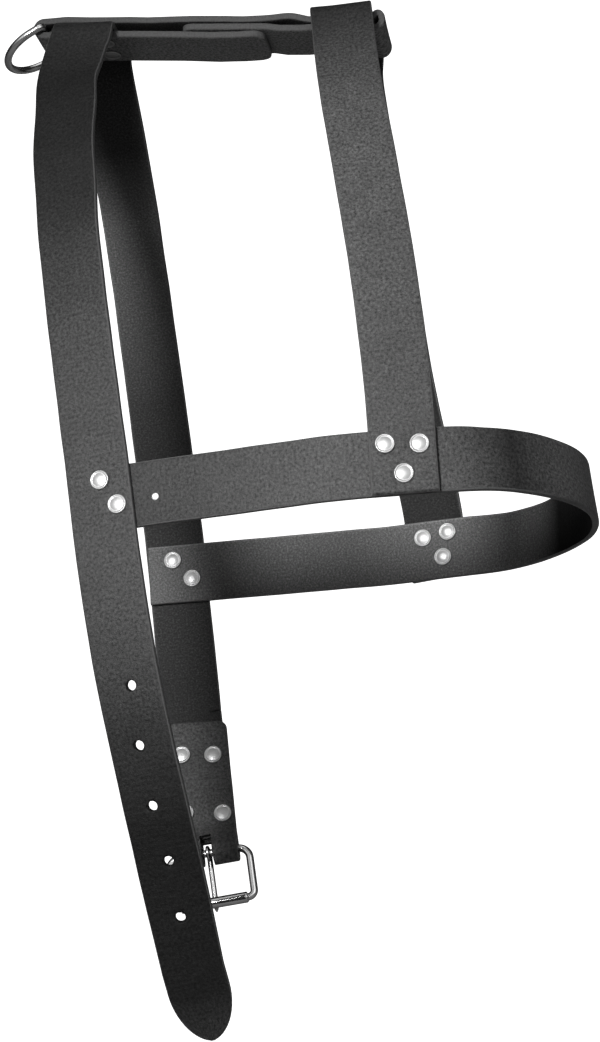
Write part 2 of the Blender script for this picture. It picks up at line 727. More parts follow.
# ------------------------------------------------------------------ materials
class Shader:
    """Short ways to add and wire the nodes of one tree; values may be numbers or sockets."""

    def __init__(self, tree):
        self.tree = tree

    def fill(self, node, inputs):
        for name, value in inputs.items():
            socket = node.inputs[name]
            if isinstance(value, bpy.types.NodeSocket):
                self.tree.links.new(value, socket)
            elif socket.type == "RGBA":
                socket.default_value = tuple(value) + (1,)
            else:
                socket.default_value = value

    def add(self, kind, inputs=None, **settings):
        node = self.tree.nodes.new("ShaderNode" + kind)
        for name, value in settings.items():
            setattr(node, name, value)
        self.fill(node, inputs or {})
        return node

    def attribute(self, name):
        return self.add("Attribute", attribute_name=name).outputs["Fac"]

    def noise(self, vector, scale, detail, roughness):
        return self.add("TexNoise", {"Vector": vector, "Scale": scale, "Detail": detail,
                                     "Roughness": roughness}).outputs[0]

    def voronoi(self, vector, scale, feature):
        return self.add("TexVoronoi", {"Vector": vector, "Scale": scale},
                        feature=feature).outputs[0]

    def mapping(self, vector, **transform):
        return self.add("Mapping", {"Vector": vector, **transform}).outputs[0]

    def math(self, operation, a, b=None, clamp=False):
        inputs = {0: a} if b is None else {0: a, 1: b}
        return self.add("Math", inputs, operation=operation, use_clamp=clamp).outputs[0]

    def plus(self, a, b):
        return self.math("ADD", a, b)

    def times(self, a, b, clamp=False):
        return self.math("MULTIPLY", a, b, clamp)

    def minus(self, a, b):
        return self.math("SUBTRACT", a, b)

    def above(self, value, start, gain):
        """Gain times the excess over start, held to 0..1."""
        return self.times(self.minus(value, start), gain, clamp=True)

    def mix(self, factor, a, b):
        return self.add("Mix", {0: factor, 2: a, 3: b}, data_type="FLOAT").outputs[0]

    def mix_colour(self, factor, a, b):
        node = self.add("Mix", data_type="RGBA")
        self.fill(node, {0: factor, 6: a, 7: b})
        return node.outputs[2]

    def scale_colour(self, colour, factor):
        return self.add("VectorMath", {0: colour, "Scale": factor},
                        operation="SCALE").outputs[0]

    def greys(self, source, *stops):
        """Colour ramp of (position, grey) stops."""
        node = self.add("ValToRGB", {0: source})
        elements = node.color_ramp.elements
        while len(elements) > 1:
            elements.remove(elements[-1])
        elements[0].position = stops[0][0]
        for position, _ in stops[1:]:
            elements.new(position)
        for element, (_, tone) in zip(elements, stops):
            element.color = (tone, tone, tone, 1)
        return node.outputs[0]

    def bump(self, height, strength, distance, **more):
        return self.add("Bump", {"Height": height, "Strength": strength, "Distance": distance,
                                 **more}).outputs[0]


def grey(tone):
    return (tone, tone, tone)


def principled(name):
    material = bpy.data.materials.new(name)
    material.use_nodes = True
    material.node_tree.nodes.clear()
    shader = Shader(material.node_tree)
    output = shader.add("OutputMaterial")
    surface = shader.add("BsdfPrincipled")
    shader.fill(output, {0: surface.outputs[0]})
    return material, shader, surface


def leather_material():
    """Black bridle leather: pebbled waxed grain side, fibrous flesh side, paler cut edges."""
    grain_tone, flesh_tone, edge_tone = 0.046, 0.021, 0.125
    material, sh, surface = principled("bridle_leather")
    uv = sh.add("UVMap", uv_map="UVMap").outputs[0]
    side = sh.attribute("side")
    off_edge = sh.math("ABSOLUTE", sh.minus(side, 1.0))
    edge = sh.math("SUBTRACT", 1.0, sh.times(off_edge, 1.7), clamp=True)
    flesh = sh.above(side, 1.35, 2.2)

    pebble_edges = sh.voronoi(uv, 125.0, "DISTANCE_TO_EDGE")
    pebble_centres = sh.voronoi(uv, 210.0, "F1")
    fine = sh.noise(uv, scale=420.0, detail=4.0, roughness=0.65)
    mottle = sh.noise(uv, scale=26.0, detail=6.0, roughness=0.6)
    clouds = sh.noise(uv, scale=5.5, detail=4.0, roughness=0.55)
    # long faint creases across the strap, scratches along it
    creases = sh.noise(sh.mapping(uv, Scale=(4.0, 34.0, 1.0)),
                       scale=1.6, detail=5.0, roughness=0.7)
    streaks = sh.noise(sh.mapping(uv, Scale=(60.0, 2.4, 1.0)),
                       scale=2.5, detail=3.0, roughness=0.5)
    scratches = sh.above(streaks, 0.62, 9.0)

    grain = sh.greys(mottle, (0.25, grain_tone * 0.70), (0.5, grain_tone),
                     (0.75, grain_tone * 1.35))
    cloudy = sh.greys(clouds, (0.3, grain_tone * 0.75), (0.7, grain_tone * 1.3))
    grain = sh.mix_colour(0.45, grain, cloudy)
    grain = sh.mix_colour(sh.times(scratches, 0.30), grain, grey(grain_tone * 2.2))
    speckle_noise = sh.noise(uv, scale=68.0, detail=3.0, roughness=0.7)
    speckle = sh.plus(sh.times(speckle_noise, 4.2), -1.10)
    grain = sh.mix_colour(1.0, grain, grain)
    grain = sh.scale_colour(grain, sh.math("MAXIMUM", speckle, 0.25))
    fibres = sh.noise(uv, scale=95.0, detail=8.0, roughness=0.75)
    flesh_colour = sh.greys(fibres, (0.3, flesh_tone * 0.35), (0.52, flesh_tone),
                            (0.75, flesh_tone * 2.6))
    edge_colour = sh.greys(fibres, (0.3, edge_tone * 0.55), (0.7, edge_tone * 1.25))
    dyed = sh.scale_colour(sh.mix_colour(flesh, grain, flesh_colour), sh.attribute("dye"))

    roughness = sh.greys(mottle, (0.3, 0.44), (0.7, 0.60))
    roughness = sh.mix(edge, sh.mix(flesh, roughness, 0.88), 0.62)

    pebbles = sh.times(sh.math("MINIMUM", pebble_edges, 0.22), 2.4)
    pebbles = sh.plus(pebbles, sh.times(pebble_centres, -0.35))
    pebbles = sh.plus(pebbles, sh.times(fine, 0.35))
    relief = sh.mix(flesh, pebbles, sh.times(fibres, 1.6))
    relief = sh.mix(edge, relief, sh.times(fibres, 1.1))
    small_bump = sh.bump(relief, strength=0.42, distance=0.00018)
    waves = sh.plus(mottle, sh.times(creases, 0.8))
    sh.fill(surface, {
        "Base Color": sh.mix_colour(edge, dyed, edge_colour),
        "Roughness": sh.plus(roughness, sh.times(scratches, -0.06)),
        "Specular IOR Level": sh.mix(flesh, 0.20, 0.06),
        "Sheen Weight": sh.mix(flesh, 0.03, 0.03),
        "Sheen Roughness": 0.45,
        "Sheen Tint": grey(0.5),
        "Normal": sh.bump(waves, strength=0.28, distance=0.0011, Normal=small_bump)})
    material.diffuse_color = (0.05, 0.05, 0.05, 1)
    return material


def metal_material(name, tone, rough, worn, grime, metal, rim):
    """Nickel plate: swirl marks, tiny pits, dull patches and grime in corners.

    worn is the spread of the roughness; rim darkens the metal where it turns away."""
    material, sh, surface = principled(name)
    place = sh.add("TexCoord").outputs["Object"]
    patches = sh.noise(place, scale=160.0, detail=5.0, roughness=0.6)
    pits = sh.noise(place, scale=1400.0, detail=3.0, roughness=0.7)
    stretched = sh.mapping(place, Scale=(900.0, 240.0, 2600.0), Rotation=(0.4, 0.9, 0.2))
    swirls = sh.noise(stretched, scale=1.0, detail=2.0, roughness=0.5)
    openness = sh.add("AmbientOcclusion", {"Distance": 0.004}, samples=6).outputs["AO"]
    dirt = sh.times(sh.minus(1.0, openness), grime * 2.0, clamp=True)
    base = sh.greys(patches, (0.3, tone * 0.86), (0.7, tone * 1.06))
    base = sh.mix_colour(dirt, base, (0.055, 0.052, 0.05))
    facing = sh.add("LayerWeight", {"Blend": 0.5}).outputs["Facing"]
    tarnish = sh.times(sh.math("POWER", facing, 1.6), rim, clamp=True)

    roughness = sh.plus(rough, sh.times(sh.minus(patches, 0.45), worn * 2.0))
    roughness = sh.plus(roughness, sh.times(sh.minus(swirls, 0.5), worn * 1.2))
    roughness = sh.plus(roughness, sh.times(dirt, 0.35))
    relief = sh.plus(pits, sh.times(swirls, 0.8))
    sh.fill(surface, {
        "Base Color": sh.mix_colour(tarnish, base, grey(0.02)),
        "Specular IOR Level": sh.mix(tarnish, 0.5, 0.0),
        "Metallic": metal,
        "Roughness": sh.math("MAXIMUM", roughness, 0.06),
        "Normal": sh.bump(relief, strength=0.10, distance=0.00012)})
    material.diffuse_color = (0.7, 0.7, 0.7, 1)
    return material


LEATHER = leather_material()
NICKEL = metal_material("nickel_wire", tone=0.86, rough=0.15, worn=0.08,
                        grime=0.50, metal=1.0, rim=1.5)
RIVET = metal_material("nickel_rivet", tone=0.44, rough=0.36, worn=0.10,
                       grime=0.55, metal=0.45, rim=0.7)
TACK = metal_material("tack_head", tone=0.93, rough=0.42, worn=0.05,
                      grime=0.0, metal=0.3, rim=0.0)


# ------------------------------------------------------------------ calm places and dye
def calm_at(points, near, far):
    """No ripple within near of the points, full ripple beyond far."""
    points = np.array(points)

    def calmness(place):
        return share(float(np.min(np.linalg.norm(points - place, axis=1))), near, far - near)

    return calmness


def dye_along(axis, grain, flesh=((0, 1), (1, 1))):
    """Tone factors along an axis; grain and flesh are (positions, factors)."""
    def dye(point):
        return float(np.interp(point[axis], *grain)), float(np.interp(point[axis], *flesh))

    return dye


DYE_GIRTH_NEAR = dye_along(2, grain=(
    (-256, -235, -200, -158, -118, -79, -30, 25, 80, 124, 158, 200, 235, 262),
    (0.85, 0.23, 0.22, 0.14, 0.46, 0.88, 1.0, 0.88, 0.82, 0.66, 0.35, 0.28, 0.24, 0.45)))
DYE_GIRTH_FAR = dye_along(
    2, grain=((-400, -150, -100, 270), (1.35, 1.35, 1.2, 1.2)),
    flesh=((-110, -60, 0, 60, 95, 140, 190, 225), (1.6, 1.6, 2.2, 1.3, 1.9, 4.2, 7.0, 1.8)))
DYE_WITHER = dye_along(
    2, grain=((-20, 60, 130, 190, 230, 262), (1.2, 1.3, 1.7, 2.1, 1.45, 0.5)),
    flesh=((0, 60), (1.45, 1.2)))
DYE_BAND = dye_along(
    0, grain=((-110, -60, -20, 20, 60, 80, 100, 125),
              (0.65, 0.66, 1.0, 1.36, 1.25, 1.2, 0.6, 2.4)),
    flesh=((-110, -60, 0, 60, 95, 115), (6.3, 4.9, 4.5, 7.5, 7.0, 0.3)))


def dye_back(point):
    is_low = float((point - RING_BAR).dot(ABOVE)) < TOP_RISE - 2.0
    return (2.9 if is_low else 0.85), 4.6


CROSSING_POINTS = [c.leg for c in (near_rear, far_rear, near_front, far_front)]
TOP_POINTS = [back_point(run, rise, y)
              for run, rise in ((GIRTH_RUN, GIRTH_RISE), (WITHER_RUN, WITHER_RISE))
              for y in (-12, 0, 12)]
calm_legs = calm_at(CROSSING_POINTS + TOP_POINTS, 24, 50)


# ------------------------------------------------------------------ girth strap, near part
def off_middle(s):
    point = girth.frame(s)[0]
    return abs(point[1]) + (0 if point[2] > 240 else 1e3)


GIRTH_MIDDLE = min(np.linspace(0, girth.length, 2001), key=off_middle)


def billet_holes():
    """Holes in the free end as (point, axis)."""
    holes = []
    lengths = np.linspace(0, billet.length, 601)
    for height, aside in BILLET_HOLES:
        s = min(lengths, key=lambda q: abs(billet.at(q)[2] - height))
        point, _, width, normal = billet.frame(s)
        holes.append((point + width * aside, normal))
    return holes


def girth_near_strap():
    frames = girth.frames(GIRTH_MIDDLE, girth.length) + billet.frames(0, billet.length)[1:]
    holes = billet_holes()
    made = strap("girth_strap_near", frames, DYE_GIRTH_NEAR, seed=2.0, ripple=0.35,
                 ends=(None, ("tip", 26.0)), dents=BAND_RIVETS["near_rear"], lips=holes,
                 calm=(calm_legs,))
    punch(made, [hole_cutter(point, axis) for point, axis in holes])
    return made


girth_near = girth_near_strap()

# ------------------------------------------------------------------ girth strap, buckle part
# Below the far crossing the strap goes straight down, leans, bends a little sideways in its
# own plane and doubles back round the buckle's heel bar.
CHAPE_TOP, chape_tangent, chape_width, chape_normal = girth.frame(0.0)
DOWN = -chape_tangent
OUTWARD = chape_normal if chape_normal[1] > 0 else -chape_normal
STRAIGHT_RUN = 38.0
LEAN = math.radians(-9.0)
SIDE_BEND = math.radians(2.6)
SIDE_BEND_RUN = 12.5     # runs below are measured down the leaning line
SIDE_BEND_REACH = 9.0    # the sideways bend is spread this far either way
HEEL_RUN = 90.5
FOLD_BACK = 73.0
FOLD_DRIFT = 2.4         # the doubled-back layer ends this far to one side
FOLD_SKEW = math.radians(5.0)
FOLD_SLACK = 1.1

LEAN_DOWN = DOWN * math.cos(LEAN) + OUTWARD * math.sin(LEAN)
CHAPE_OUT = -DOWN * math.sin(LEAN) + OUTWARD * math.cos(LEAN)
LEAN_WIDTH = chape_width if chape_width[0] > 0 else -chape_width
CHAPE_DOWN = unit(LEAN_DOWN * math.cos(SIDE_BEND) + LEAN_WIDTH * math.sin(SIDE_BEND))
CHAPE_WIDTH = unit(LEAN_WIDTH * math.cos(SIDE_BEND) - LEAN_DOWN * math.sin(SIDE_BEND))
SIDE_BEND_AT = CHAPE_TOP + DOWN * STRAIGHT_RUN + LEAN_DOWN * SIDE_BEND_RUN


def chape_point(run, rise, across=0.0):
    """Point of the doubled part: run down the leaning line, rise outward."""
    return SIDE_BEND_AT + CHAPE_DOWN * (run - SIDE_BEND_RUN) + CHAPE_OUT * rise \
        + CHAPE_WIDTH * across


HEEL = chape_point(HEEL_RUN, -LOOP_R)
# rows above the heel bar and offsets across
BUCKLE_RIVETS = [(chape_point(HEEL_RUN - row, -LAYER_PITCH / 2, across), CHAPE_OUT)
                 for row, across in ((23.5, -9.3), (19.9, 10.5), (56.0, -7.3), (53.0, 9.4))]


def chape_line():
    """Stations of the buckle part: point, direction before the side bend, sideways drift."""
    join_run = 12.0
    upper = rounded([vec(0, 0), vec(STRAIGHT_RUN, 0),
                     vec(STRAIGHT_RUN, 0) + vec(math.cos(LEAN), math.sin(LEAN)) * join_run],
                    [150.0])
    stations = [(CHAPE_TOP + DOWN * p[0] + OUTWARD * p[1], DOWN * d[0] + OUTWARD * d[1], 0.0)
                for p, d in walk(upper)[:-1]]
    fold_run = HEEL_RUN + LOOP_R + FOLD_SLACK
    lower = rounded([vec(join_run, 0), vec(fold_run, 0), vec(fold_run, -2 * LOOP_R),
                     vec(HEEL_RUN - 3.0, -2 * LOOP_R), vec(HEEL_RUN - 13.9, -LAYER_PITCH),
                     vec(HEEL_RUN - FOLD_BACK, -LAYER_PITCH)],
                    [LOOP_R, LOOP_R, 10.0, 10.0])
    doubled = False
    for (run, rise), d in walk(lower):
        doubled = doubled or rise < -2 * LOOP_R + 0.3
        if run < SIDE_BEND_RUN + SIDE_BEND_REACH:
            bent = share(run, SIDE_BEND_RUN - SIDE_BEND_REACH, 2 * SIDE_BEND_REACH)
            swing = math.tan(SIDE_BEND) * (SIDE_BEND_REACH * bent * bent)
        else:
            swing = math.tan(SIDE_BEND) * (run - SIDE_BEND_RUN)
        drift = FOLD_DRIFT * (HEEL_RUN - run) / FOLD_BACK if doubled else 0.0
        shorten = 1 if run < SIDE_BEND_RUN else math.cos(SIDE_BEND)
        point = (SIDE_BEND_AT + LEAN_DOWN * (run - SIDE_BEND_RUN) * shorten
                 + LEAN_WIDTH * swing + CHAPE_OUT * rise + CHAPE_WIDTH * drift)
        stations.append((point, CHAPE_DOWN * d[0] + CHAPE_OUT * d[1], drift))
    return stations


def chape_frames(width_above):
    """Frames of the buckle part; the grain side carries on from the leg above."""
    last_lean_station = 30  # later stations take the width of the bent part
    line = chape_line()
    frames = []
    for i, (point, direction, drift) in enumerate(line):
        tangent = unit(line[min(len(line) - 1, i + 1)][0] - line[max(0, i - 1)][0])
        plane_width = CHAPE_WIDTH if i > last_lean_station else LEAN_WIDTH
        width = unit(np.cross(unit(np.cross(direction, plane_width)), tangent))
        if drift > 0:
            # the doubled-back layer was cut slightly out of square
            skew = FOLD_SKEW * drift / FOLD_DRIFT
            lower = CHAPE_DOWN if width.dot(CHAPE_WIDTH) < 0 else -CHAPE_DOWN
            width = unit(width * math.cos(skew) - lower * math.sin(skew))
        if width.dot(width_above) < 0:
            width = -width
        frames.append((point, tangent, width, unit(np.cross(tangent, width))))
    return frames


def fold_slot(above_heel, rise):
    """Cutter for the slot at the fold, reaching 12 mm below the heel bar."""
    below_heel = 12.0
    middle = HEEL + CHAPE_DOWN * ((below_heel - above_heel) / 2) + CHAPE_OUT * rise
    return box_cutter(middle, (CHAPE_WIDTH, CHAPE_DOWN, CHAPE_OUT),
                      (5.6, below_heel + above_heel, 30.0))


def girth_far_strap():
    frames = [(point, -tangent, -width, normal)
              for point, tangent, width, normal in girth.frames(GIRTH_MIDDLE, 0.0)]
    frames += chape_frames(frames[-1][2])[1:]
    calm_chape = calm_at([chape_point(run, 0) for run in range(10, 90, 8)], 20, 30)
    made = strap("girth_strap_far", frames, DYE_GIRTH_FAR, seed=4.0, ripple=0.30,
                 ends=(None, ("round", 3.5)), dents=BAND_RIVETS["far_rear"] + BUCKLE_RIVETS,
                 calm=(calm_legs, calm_chape))
    punch(made, [fold_slot(9.0, -15.0), fold_slot(6.6, 14.9)])
    return made


girth_far = girth_far_strap()

wither_strap = strap(
    "wither_strap_leather", wither.frames(0, wither.length), DYE_WITHER, seed=6.0, ripple=0.35,
    dents=BAND_RIVETS["near_front"] + BAND_RIVETS["far_front"] + BACK_RIVETS["wither_back"],
    calm=(calm_legs,))

# ------------------------------------------------------------------ breast band
TACK_POINT = np.append(NEAR_REAR_SIDE.point(-71.6), -2.6)


def band_lean(x, y):
    """Degrees by which the band's upper edge leans in; negative leans out."""
    near = 8.5 * share(x, 64.0, 24.0)
    far = -8.0 * share(x, 64.0, 22.0) * share(x, 128.0, -22.0)
    far_part = ease(share(y, -40.0, 95.0))
    return near * (1 - far_part) + (far + 1.5 * share(x, 100, 30.0)) * far_part


def breast_band():
    """A U from the near rear end, round the front, to the far rear end."""
    path = rounded([
        NEAR_REAR_SIDE.point(-111.0), NEAR_REAR_SIDE.meet(NEAR_FRONT_SIDE),
        NEAR_FRONT_SIDE.point(90.0), vec(133.0, -34.0), vec(133.0, 50.0),
        FAR_FRONT_SIDE.point(90.0), FAR_REAR_SIDE.meet(FAR_FRONT_SIDE),
        FAR_REAR_SIDE.point(-111.0)], [110.0, 45.0, 100.0, 100.0, 57.0, 150.0])
    frames = []
    for point, tangent, up, outward in planar_frames(path, vec(0, 0, 0), X_AXIS, Y_AXIS,
                                                     Z_AXIS, arc_degrees=4):
        lean = math.radians(band_lean(point[0], point[1]))
        drop = 0.75 * abs(lean) / math.radians(8.5)
        frames.append((point - Z_AXIS * drop, tangent,
                       unit(up * math.cos(lean) - outward * math.sin(lean)),
                       unit(outward * math.cos(lean) + up * math.sin(lean))))
    return strap("breast_band_leather", frames, DYE_BAND, seed=8.0, ripple=0.30,
                 dents=sum(BAND_RIVETS.values(), []),
                 calm=(calm_at(CROSSING_POINTS + [TACK_POINT], 26, 50),))


band = breast_band()

# ------------------------------------------------------------------ back strap
FRONT_FOLD_R, FRONT_FOLD_RUN = 3.2, 176.6
FOLD_LOW_RISE = TOP_RISE - 2 * FRONT_FOLD_R
# rises and sags of each layer between its fixings: runs, lifts
TOP_WAVE = ((0, 4, 12, 25, 46, 56, 66, 81, 97, 107, 118, 124, 132, 140, 146),
            (0, 0.3, 1.1, 0.7, 0.7, 0.3, 0.5, 0.7, 0.4, -0.4, -0.6, -0.4, 0.4, 0.2, 0))
MIDDLE_WAVE = ((119.5, 126, 138, 150), (0, -1.0, -1.1, 0))
LOW_WAVE = ((40, 70, 90, 104, 114), (0, -0.4, -1.1, -0.8, 0.0))


def back_lift(run, rise):
    if run <= 0:
        return 0.0
    wave = MIDDLE_WAVE
    if rise > (TOP_RISE + GIRTH_RISE) / 2:
        wave = TOP_WAVE
    elif rise < (GIRTH_RISE + LOW_RISE) / 2:
        wave = LOW_WAVE
    return float(np.interp(run, *wave))


def back_strap():
    """From the lower layer, round the ring's bar, over the top and back under at the front."""
    front = FRONT_FOLD_RUN + FRONT_FOLD_R
    corners = [  # run, rise, rounding of the corner
        (118.5, LOW_RISE - 0.25, None), (96.0, LOW_RISE, 300.0), (9.0, LOW_RISE, 30.0),
        (3.0, -LOOP_R, 12.0), (-LOOP_R, -LOOP_R, LOOP_R), (-LOOP_R, TOP_RISE, LOOP_R),
        (48.0, TOP_RISE, 300.0), (98.0, TOP_RISE + 0.4, 200.0), (131.0, TOP_RISE + 2.3, 45.0),
        (141.3, TOP_RISE, 16.0), (front, TOP_RISE, FRONT_FOLD_R),
        (front, FOLD_LOW_RISE, FRONT_FOLD_R), (175.0, FOLD_LOW_RISE, 5.0),
        (169.9, GIRTH_RISE, 3.5), (74.0, GIRTH_RISE, None)]
    path = rounded([vec(run, rise) for run, rise, _ in corners],
                   [radius for _, _, radius in corners[1:-1]])
    flat_frames = planar_frames(path, RING_BAR, ALONG, ABOVE, Y_AXIS, arc_degrees=7)
    lifted = []
    for point, _, width, normal in flat_frames:
        offset = point - RING_BAR
        run, rise = float(offset.dot(ALONG)), float(offset.dot(ABOVE))
        # the front fold stands up beyond the wither strap, more so on the near side
        stand = ease(share(run, 172.6, 5.6))
        high = share(rise, FOLD_LOW_RISE, TOP_RISE - FOLD_LOW_RISE)
        lift = back_lift(run, rise) + stand * (0.9 + 1.9 * high)
        lifted.append((point + ABOVE * lift, unit(width + ABOVE * (-0.085 * stand)), normal))
    frames = []
    for i, (point, width, old_normal) in enumerate(lifted):
        tangent = unit(lifted[min(len(lifted) - 1, i + 1)][0] - lifted[max(0, i - 1)][0])
        width = unit(width - tangent * width.dot(tangent))
        normal = unit(np.cross(tangent, width))
        if normal.dot(old_normal) <= 0:
            normal = -normal
        frames.append((point, tangent, width, normal))
    return strap("back_strap_leather", frames, dye_back, seed=10.0, ripple=0.0,
                 ends=(("round", 7.0), ("round", 6.0)), dents=sum(BACK_RIVETS.values(), []))


back = back_strap()

for piece, nodes, body in ((wither_strap, ("wither_strap",), "harness"),
                           (band, ("breast_band",), "harness"),
                           (back, ("back_strap",), "harness"),
                           (girth_near, ("girth_strap", "girth_billet"), None),
                           (girth_far, ("girth_chape",), None)):
    finish_piece(piece, LEATHER, nodes, body)

# both girth parts flex just below the band
near_point, near_tangent, _, _ = girth.frame(girth.length)
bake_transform(girth_near)
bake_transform(girth_far)


# ------------------------------------------------------------------ turned metal
def lathe(bm, profile, matrix, segments):
    """Closed profile of (radius, height) in mm, revolved about the matrix's z."""
    angles = [2 * math.pi * k / segments for k in range(segments)]
    rings = []
    for radius, z in profile:
        if radius < 1e-6:
            ring = [Vector((0, 0, z * 1e-3))]
        else:
            ring = [Vector((radius * math.cos(a) * 1e-3, radius * math.sin(a) * 1e-3, z * 1e-3))
                    for a in angles]
        rings.append([bm.verts.new(matrix @ place) for place in ring])
    for a, b in zip(rings, rings[1:] + rings[:1]):
        if len(a) == 1 and len(b) == 1:
            continue
        for k in range(segments):
            n = (k + 1) % segments
            if len(a) == 1:
                bm.faces.new((a[0], b[k], b[n]))
            elif len(b) == 1:
                bm.faces.new((a[k], b[0], a[n]))
            else:
                bm.faces.new((a[k], b[k], b[n], a[n]))


def smooth_profile(points, steps):
    """Open Catmull-Rom curve through the points."""
    p = [np.array(point, float) for point in points]
    p = [2 * p[0] - p[1]] + p + [2 * p[-1] - p[-2]]
    curve = []
    for a, b, c, d in zip(p, p[1:], p[2:], p[3:]):
        for k in range(steps):
            x = k / steps
            curve.append(0.5 * ((2 * b) + (c - a) * x + (2 * a - 5 * b + 4 * c - d) * x * x
                                + (3 * b - a - 3 * c + d) * x ** 3))
    curve.append(p[-2])
    return [(max(0.0, float(radius)), float(z)) for radius, z in curve]


HEAD_R = 4.8
SHANK_R = 1.8
# domed centre, shallow groove and raised rim: share of the radius, height over the leather
RIVET_HEAD = [(0.0, 1.32), (0.22, 1.30), (0.42, 1.20), (0.60, 1.02), (0.71, 0.90), (0.79, 0.98),
              (0.87, 1.12), (0.94, 1.04), (0.99, 0.72), (1.0, 0.40), (0.985, 0.12), (0.95, 0.0)]


def rivet_profile(layers):
    base = (layers * THICK + (layers - 1) * (LAYER_PITCH - THICK)) / 2 - 0.16
    head = smooth_profile([(HEAD_R * r, base + z) for r, z in RIVET_HEAD], steps=3)
    return head + [(SHANK_R, base + 0.02), (SHANK_R, 0.15), (0.0, 0.15)]


def rivet_set(key, spots, layers, body, seed):
    """Caps on the outer face and posts on the inner one, each head slightly askew."""
    for part, side, part_seed in (("cap", 1, seed), ("post", -1, seed + 30)):
        profile = [(radius, z * side) for radius, z in rivet_profile(layers)]
        draws = np.random.RandomState(part_seed)
        bm = bmesh.new()
        for point, axis in spots:
            tilt = draws.uniform(-1.2, 1.2, 2)
            matrix = (place_on(point, axis) @ Matrix.Rotation(math.radians(tilt[0]), 4, "X")
                      @ Matrix.Rotation(math.radians(tilt[1]), 4, "Y")
                      @ Matrix.Rotation(draws.uniform(0, 6.28), 4, "Z"))
            lathe(bm, profile, matrix, segments=56)
        made = smooth_object(f"rivet_{part}_{key}", bm)
        finish_piece(made, RIVET, [f"rivet_{part}s_{key}"], body)


for k, (key, spots) in enumerate(BAND_RIVETS.items()):
    rivet_set(key, spots, layers=2, body="harness", seed=10 + k)
rivet_set("buckle", BUCKLE_RIVETS, layers=2, body="chape", seed=20)
for k, (key, spots) in enumerate(BACK_RIVETS.items()):
    rivet_set(key, spots, layers=3, body="harness", seed=34 + k)


def lathed_piece(name, profile, matrix, segments, material, node, body):
    bm = bmesh.new()
    lathe(bm, profile, matrix, segments)
    finish_piece(smooth_object(name, bm), material, [node], body)


TACK_PROFILE = (
    smooth_profile([(0, 2.62), (0.6, 2.6), (1.2, 2.5), (1.6, 2.25), (1.76, 1.95),
                    (1.74, 1.78)], steps=4)
    + [(0.8, 1.75), (0.8, -1.75)]
    + smooth_profile([(1.35, -1.8), (1.4, -2.0), (1.1, -2.25), (0.6, -2.38), (0, -2.42)],
                     steps=3))
lathed_piece("band_tack_head", TACK_PROFILE, place_on(TACK_POINT, near_rear.out), 40,
             TACK, "band_tack", "harness")


# ------------------------------------------------------------------ wire
def wire(name, path, radii, closed, sides, node, body):
    """Round nickel wire along a path (mm), with a radius for each point."""
    count = len(path)
    last = count - 1
    bm = bmesh.new()
    rings = []
    across = None
    for i, (point, radius) in enumerate(zip(path, radii)):
        ahead = path[(i + 1) % count] if closed or i < last else point
        behind = path[i - 1] if closed or i > 0 else point
        tangent = unit(ahead - behind)
        if across is None:
            across = unit(np.cross(tangent, vec(0.13, 0.77, 0.41)))
        across = unit(across - tangent * across.dot(tangent))
        other = np.cross(tangent, across)
        ring = []
        for k in range(sides):
            a = 2 * math.pi * k / sides
            rim = point + (across * math.cos(a) + other * math.sin(a)) * radius
            ring.append(bm.verts.new(Vector(out(rim))))
        rings.append(ring)
    for i in range(count if closed else last):
        a, b = rings[i], rings[(i + 1) % count]
        if closed and i == last:
            # close with the turn that fits best
            turn = min(range(sides), key=lambda offset: (a[0].co - b[offset].co).length)
            b = b[turn:] + b[:turn]
        for k in range(sides):
            n = (k + 1) % sides
            bm.faces.new((a[k], a[n], b[n], b[k]))
    if not closed:
        bm.faces.new(rings[0])
        bm.faces.new(rings[-1])
    finish_piece(smooth_object(name, bm), NICKEL, [node], body)


def arc_points(x, y, radius, start, end, count):
    """Points of an arc without its last; start and end are in quarter turns."""
    start, end = start * math.pi / 2, end * math.pi / 2
    angles = [start + (end - start) * j / count for j in range(count)]
    return [(x + radius * math.cos(a), y + radius * math.sin(a)) for a in angles]


def line_points(a, b, count):
    """Points of a line without its last."""
    return [(a[0] + (b[0] - a[0]) * j / count, a[1] + (b[1] - a[1]) * j / count)
            for j in range(count)]


def lead_ring():
    """A D: straight bar, small corners, short arms and a half circle."""
    half, arm, corner = 19.0, 7.0, 3.0
    flat = half - corner
    outline = line_points((0, 0), (flat, 0), 14)
    outline += arc_points(flat, corner, corner, -1, 0, 12)
    outline += line_points((half, corner), (half, arm), 5)
    outline += arc_points(0, arm, half, 0, 2, 80)
    outline += line_points((-half, arm), (-half, corner), 5)
    outline += arc_points(-flat, corner, corner, 2, 3, 12)
    outline += line_points((-flat, 0), (0, 0), 14)
    path = [RING_BAR + Y_AXIS * x + RING_OUT * y for x, y in outline]
    wire("lead_ring_wire", path, [WIRE_R] * len(path), True, 32, "lead_ring", "ring")


BUCKLE_LENGTH = 27.0  # heel bar to the bar that carries the roller
ROLLER_R = 2.9


